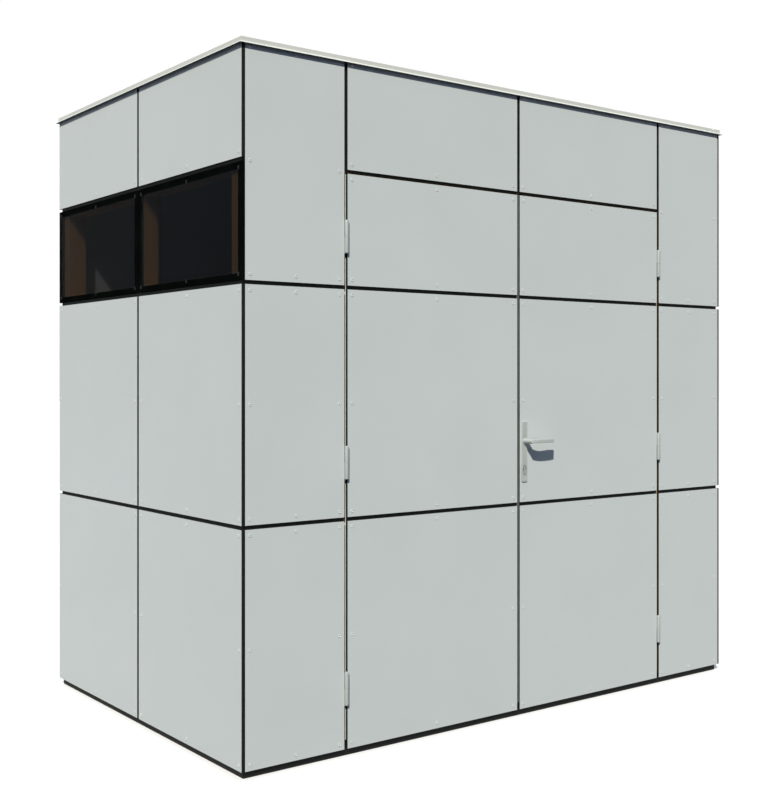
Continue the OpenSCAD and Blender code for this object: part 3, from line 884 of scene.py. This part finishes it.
def flat_plate(outline, holes, thickness, edge):
    """A flat plate as a bmesh, with its face's edges and its holes' rims rounded. Its outline and
    holes are lists of (x, z), its back lies flat at y = 0 and its face at y = -thickness."""
    curve = bpy.data.curves.new("plate outline", "CURVE")
    curve.dimensions = "2D"
    curve.fill_mode = "BOTH"
    curve.extrude = (thickness - edge) / 2
    curve.bevel_depth = edge
    curve.bevel_resolution = 2
    curve.offset = -edge
    for loop in [outline] + holes:
        spline = curve.splines.new("POLY")
        spline.points.add(len(loop) - 1)
        for point, (x, z) in zip(spline.points, loop):
            point.co = (x, z, 0, 1)
        spline.use_cyclic_u = True
    holder = bpy.data.objects.new("plate outline", curve)
    bpy.context.scene.collection.objects.link(holder)
    bpy.context.view_layer.update()
    evaluated = holder.evaluated_get(bpy.context.evaluated_depsgraph_get())
    plain = bpy.data.meshes.new_from_object(evaluated)
    bpy.data.objects.remove(holder)
    bm = bmesh.new()
    bm.from_mesh(plain)
    bmesh.ops.remove_doubles(bm, verts=bm.verts, dist=0.01 * MM)
    middle = Matrix.Translation((0, (edge - thickness) / 2, 0))
    bmesh.ops.transform(bm, matrix=middle @ Matrix.Rotation(math.pi / 2, 4, "X"), verts=bm.verts)
    for vert in bm.verts:
        vert.co.y = min(vert.co.y, 0)
    return bm


def profile_outline(centre_x, top_z, size, gap, steps=24):
    """The outline of a profile lock cylinder: a round barrel with a narrow fin below it."""
    radius, fin, height = size
    centre_z = top_z - radius
    half = fin / 2 + gap
    start = math.asin(half / (radius + gap)) - math.pi / 2
    sweep = 2 * math.pi - 2 * (start + math.pi / 2)
    arc = [(centre_x + (radius + gap) * math.cos(start + sweep * i / steps),
            centre_z + (radius + gap) * math.sin(start + sweep * i / steps))
           for i in range(steps + 1)]
    foot = top_z - height - gap
    return arc + [(centre_x - half, foot), (centre_x + half, foot)]


def domed(bm, low, high):
    """Rounds a backplate down to a thin rim along its outline, and leaves its holes alone."""
    middle = (low + high) / 2
    half_w = (high.x - low.x) / 2
    half_h = (high.z - low.z) / 2
    for vert in bm.verts:
        along = vert.co.x - middle.x
        up = vert.co.z - middle.z
        # 0 where the rounded edge starts, and 1 at the plate's face
        lift = (-vert.co.y - PLATE_T + PLATE_EDGE) / PLATE_EDGE
        at_rim = abs(along) > half_w - 2 * PLATE_EDGE or abs(up) > half_h - CLIP - PLATE_EDGE
        if lift > LIFT_MIN and at_rim:
            lift = min(max(lift, 0), 1)
            inward = RIM_W * lift - PLATE_EDGE * (1 - math.sqrt(1 - lift * lift))
            vert.co = (middle.x + along * (1 - inward / half_w),
                       -RIM_SIDE - (PLATE_T - RIM_SIDE) * lift,
                       middle.z + up * (1 - inward / half_h))


def backplates():
    """Long narrow plates with clipped lower corners, rounded edges, an open slot round the lock
    cylinder and a screw at each end."""
    lock_top = Vector(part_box("lock_cylinder")[1]).z
    neck_hole = [(LEVER_AXIS.x + NECK_HOLE * math.cos(a), LEVER_AXIS.z + NECK_HOLE * math.sin(a))
                 for a in (2 * math.pi * i / HOLE_STEPS for i in range(HOLE_STEPS))]
    lock_hole = profile_outline(LEVER_AXIS.x, lock_top, LOCK_SIZE, LOCK_GAP)
    bm = bmesh.new()
    points = []
    for low, high in PLATES:
        out = -1 if low.y < LEVER_AXIS.y else 1
        outline = [(low.x + CLIP, low.z), (high.x - CLIP, low.z), (high.x, low.z + CLIP),
                   (high.x, high.z), (low.x, high.z), (low.x, low.z + CLIP)]
        plate = flat_plate(outline, [neck_hole, lock_hole], PLATE_T, PLATE_EDGE)
        domed(plate, low, high)
        if out > 0:
            bmesh.ops.transform(plate, matrix=Matrix.Scale(-1, 4, (0, 1, 0)), verts=plate.verts)
        back = high.y if out < 0 else low.y
        bmesh.ops.translate(plate, vec=(0, back, 0), verts=plate.verts)
        mesh = bpy.data.meshes.new("plate")
        plate.to_mesh(mesh)
        plate.free()
        bm.from_mesh(mesh)
        bpy.data.meshes.remove(mesh)
        for z in (low.z + PLATE_SCREW_IN, high.z - PLATE_SCREW_IN):
            points.append((Vector((LEVER_AXIS.x, back + out * PLATE_T, z)), Vector((0, out, 0))))
    dress(shape("door_backplates_clipped", bm, [HANDLE_METAL], smooth_angle=40), "right_door",
          "handle_steel", "door_backplates")
    dress(screws("backplate_screws", points, HANDLE_METAL, PLATE_SCREW_MM), "right_door",
          "handle_steel")


backplates()


def lock():
    """The profile lock cylinder, with a turned plug on both faces, and on each a block of painted
    shade where its keyway is.
    """
    low, high = (Vector(c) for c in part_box("lock_cylinder"))
    radius = (high.x - low.x) / 2
    centre = Vector(((low.x + high.x) / 2, 0, high.z - radius))
    barrel = eased(cad_copy("lock_cylinder"), LOCK_EDGE, min_length=LOCK_EDGE_MIN)
    dress(shape("lock_cylinder_profile", barrel, [PLATED], smooth_angle=30), "right_door",
          "lock_brass", "lock_cylinder")
    bm = bmesh.new()
    slots = bmesh.new()
    for out, face in ((-1, low.y), (1, high.y)):
        turned(bm, [(radius * share, h) for share, h in PLUG], (centre.x, face, centre.z),
               (0, out, 0))
        # the keyway is a small block of painted shade
        block(slots, (centre.x - KEYWAY_HALF_W, face, centre.z - KEYWAY_HALF_H),
              (centre.x + KEYWAY_HALF_W, face + out * KEYWAY_OUT, centre.z + KEYWAY_HALF_H),
              KEYWAY_EDGE, 1)
    dress(shape("lock_plug", bm, [PLATED], smooth_angle=30), "right_door", "lock_brass")
    dress(shape("lock_keyway_shade", slots, [HOLE_SHADE]), "right_door", "lock_brass")


lock()


def edge_plate(node, body, out, latch):
    """The lock's faceplate or its strike in the edge of a leaf: rounded ends, a screw near each
    end, and the latch and the bolt, or blocks of painted shade for the pockets that they enter."""
    low, high = (Vector(c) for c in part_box(node))
    bm = bmesh.new()
    half = (high.y - low.y) / 2
    middle = (low.y + high.y) / 2
    face, back = (low.x, high.x) if out < 0 else (high.x, low.x)
    outline = []
    for centre_z, start in ((high.z - half, 0), (low.z + half, math.pi)):
        outline += [(middle + half * math.cos(a), centre_z + half * math.sin(a))
                    for a in (start + math.pi * i / END_STEPS for i in range(END_STEPS + 1))]
    skinned(bm, [[Vector((x, y, z)) for y, z in outline] for x in (back, face)])
    points = [(Vector((face, middle, z)), Vector((out, 0, 0)))
              for z in (low.z + half * EDGE_SCREW_IN, high.z - half * EDGE_SCREW_IN)]
    dress(shape(node + "_rounded", bm, [FACE_STEEL], smooth_angle=30), body, "hinge_steel", node)
    dress(screws(node + "_screws", points, FACE_STEEL, EDGE_SCREW_MM), body, "hinge_steel")
    fittings = bmesh.new()
    for centre_z, (half_z, half_y) in ((LEVER_AXIS.z, LATCH_HALF), (low.z + BOLT_UP, BOLT_HALF)):
        block(fittings, (face, middle - half_y, centre_z - half_z),
              (face + out * BOLT_OUT, middle + half_y, centre_z + half_z), BOLT_EDGE, 1)
    # the strike's pockets are blocks of painted shade
    finish = FACE_STEEL if latch else HOLE_SHADE
    name = "latch_and_bolt" if latch else "strike_pocket_shade"
    dress(shape(name, fittings, [finish]), body, "hinge_steel")


edge_plate("lock_faceplate", "right_door", -1, True)
edge_plate("left_strike_plate", "left_door", 1, False)


# the seals in the meeting joint: how far behind the panels' faces they lie, their clearance from
# the panel beside them, half the gap between them, and their rounded edges
SEAL_BEHIND = 2 * MM
SEAL_CLEAR = 0.2 * MM
SEAL_HALF_GAP = 0.5 * MM
SEAL_EDGE = 0.5 * MM
# the lip on the right leaf's edge: its thickness, how far it reaches in front of the stile and
# behind the stile's face, and its rounded edges
LIP_THICK = 1.6 * MM
LIP_FRONT = 0.5 * MM
LIP_DEEP = 7.5 * MM
LIP_EDGE = 0.4 * MM


def meeting_seal(side, out):
    """A grey rubber seal in front of the tape along the meeting edge of a leaf. The right leaf's
    has a lip on its edge too, which closes the gap between the leaves."""
    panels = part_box(side + "_cladding")
    low, high = (Vector(c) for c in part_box(side + "_stiles"))
    panel_x = panels[0][X] if out > 0 else panels[1][X]
    bm = bmesh.new()
    block(bm, (panel_x - out * SEAL_CLEAR, panels[0][Y] + SEAL_BEHIND, low.z),
          (out * SEAL_HALF_GAP, low.y, high.z), SEAL_EDGE)
    if out > 0:
        block(bm, (low.x - LIP_THICK, low.y - LIP_FRONT, low.z),
              (low.x, low.y + LIP_DEEP, high.z), LIP_EDGE)
    dress(shape(side + "_meeting_seal", bm, [SEAL]), side, "joint_tape")


meeting_seal("left_door", -1)
meeting_seal("right_door", 1)


# ---------------------------------------------------------------- floor, camera and lights

# how much the surround lights the object: dim and cool, as an open sky does
FILL_COLOUR = (0.02, 0.04, 0.11, 1.0)


def in_sight(tree):
    """1 where a surface is seen, straight or in a gloss or through glass, and 0 where it only
    lights the object."""
    path = add(tree, "ShaderNodeLightPath")
    seen = add(tree, "ShaderNodeMath",
               {0: path.outputs["Is Camera Ray"], 1: path.outputs["Is Glossy Ray"]},
               operation="MAXIMUM")
    return add(tree, "ShaderNodeMath",
               {0: seen.outputs[0], 1: path.outputs["Is Transmission Ray"]},
               operation="MAXIMUM").outputs[0]


def studio_floor():
    """A pale floor that is white to the eye and keeps the shed's shadow, but throws little
    light back up."""
    made, tree, shader = material("pale studio floor")
    tree.nodes.remove(shader)
    dim = add(tree, "ShaderNodeBsdfDiffuse", {"Color": linear("#303236")})
    pale = add(tree, "ShaderNodeBsdfDiffuse", {"Color": linear("#E0E0DF")})
    mix = add(tree, "ShaderNodeMixShader",
              {"Fac": in_sight(tree), 1: dim.outputs["BSDF"], 2: pale.outputs["BSDF"]})
    output = tree.nodes["Material Output"]
    tree.links.new(mix.outputs["Shader"], output.inputs["Surface"])
    bm = bmesh.new()
    bmesh.ops.create_circle(bm, cap_ends=True, radius=60, segments=64)
    floor = shape("studio_floor", bm, [made])


def surround():
    """A plain white surround to the eye and in gloss, and a dim even light on the object."""
    world = bpy.data.worlds.new("studio surround")
    bpy.context.scene.world = world
    world.use_nodes = True
    tree = world.node_tree
    colour = add(tree, "ShaderNodeMix",
                 {"Factor": in_sight(tree), "A": FILL_COLOUR, "B": (1, 1, 1, 1)},
                 data_type="RGBA")
    tree.links.new(colour.outputs["Result"], tree.nodes["Background"].inputs["Color"])
    tree.nodes["Background"].inputs["Strength"].default_value = 1.0


def sun(name, toward, strength, softness_deg, colour=(1, 1, 1)):
    """A far lamp whose light travels toward a direction."""
    lamp = bpy.data.lights.new(name, "SUN")
    lamp.energy = strength
    lamp.color = colour
    lamp.angle = math.radians(softness_deg)
    made = bpy.data.objects.new(name, lamp)
    made.rotation_euler = Vector(toward).to_track_quat("-Z", "Y").to_euler()
    bpy.context.scene.collection.objects.link(made)


def eye_level_camera():
    """A level camera at standing eye height, off the left front corner."""
    lens = bpy.data.cameras.new("eye level")
    lens.sensor_width = 36
    lens.lens = 53.58
    lens.shift_y = -0.0286
    camera = bpy.data.objects.new("eye level", lens)
    camera.location = (-3.034, -3.952, 1.2515)
    camera.rotation_euler = (math.radians(90), 0, math.radians(-36.97))
    bpy.context.scene.collection.objects.link(camera)
    bpy.context.scene.camera = camera


studio_floor()
surround()
sun("key light", toward=(0.5225, 0.5225, -0.674), strength=5.15, softness_deg=1.5,
    colour=(1.0, 0.96, 0.875))
sun("back light", toward=(-0.70, -0.66, -0.27), strength=2.04, softness_deg=25)
sun("soft top light", toward=(0, 0, -1), strength=1.25, softness_deg=130, colour=(0.62, 0.8, 1.0))
eye_level_camera()
bpy.context.scene.view_settings.view_transform = "Standard"
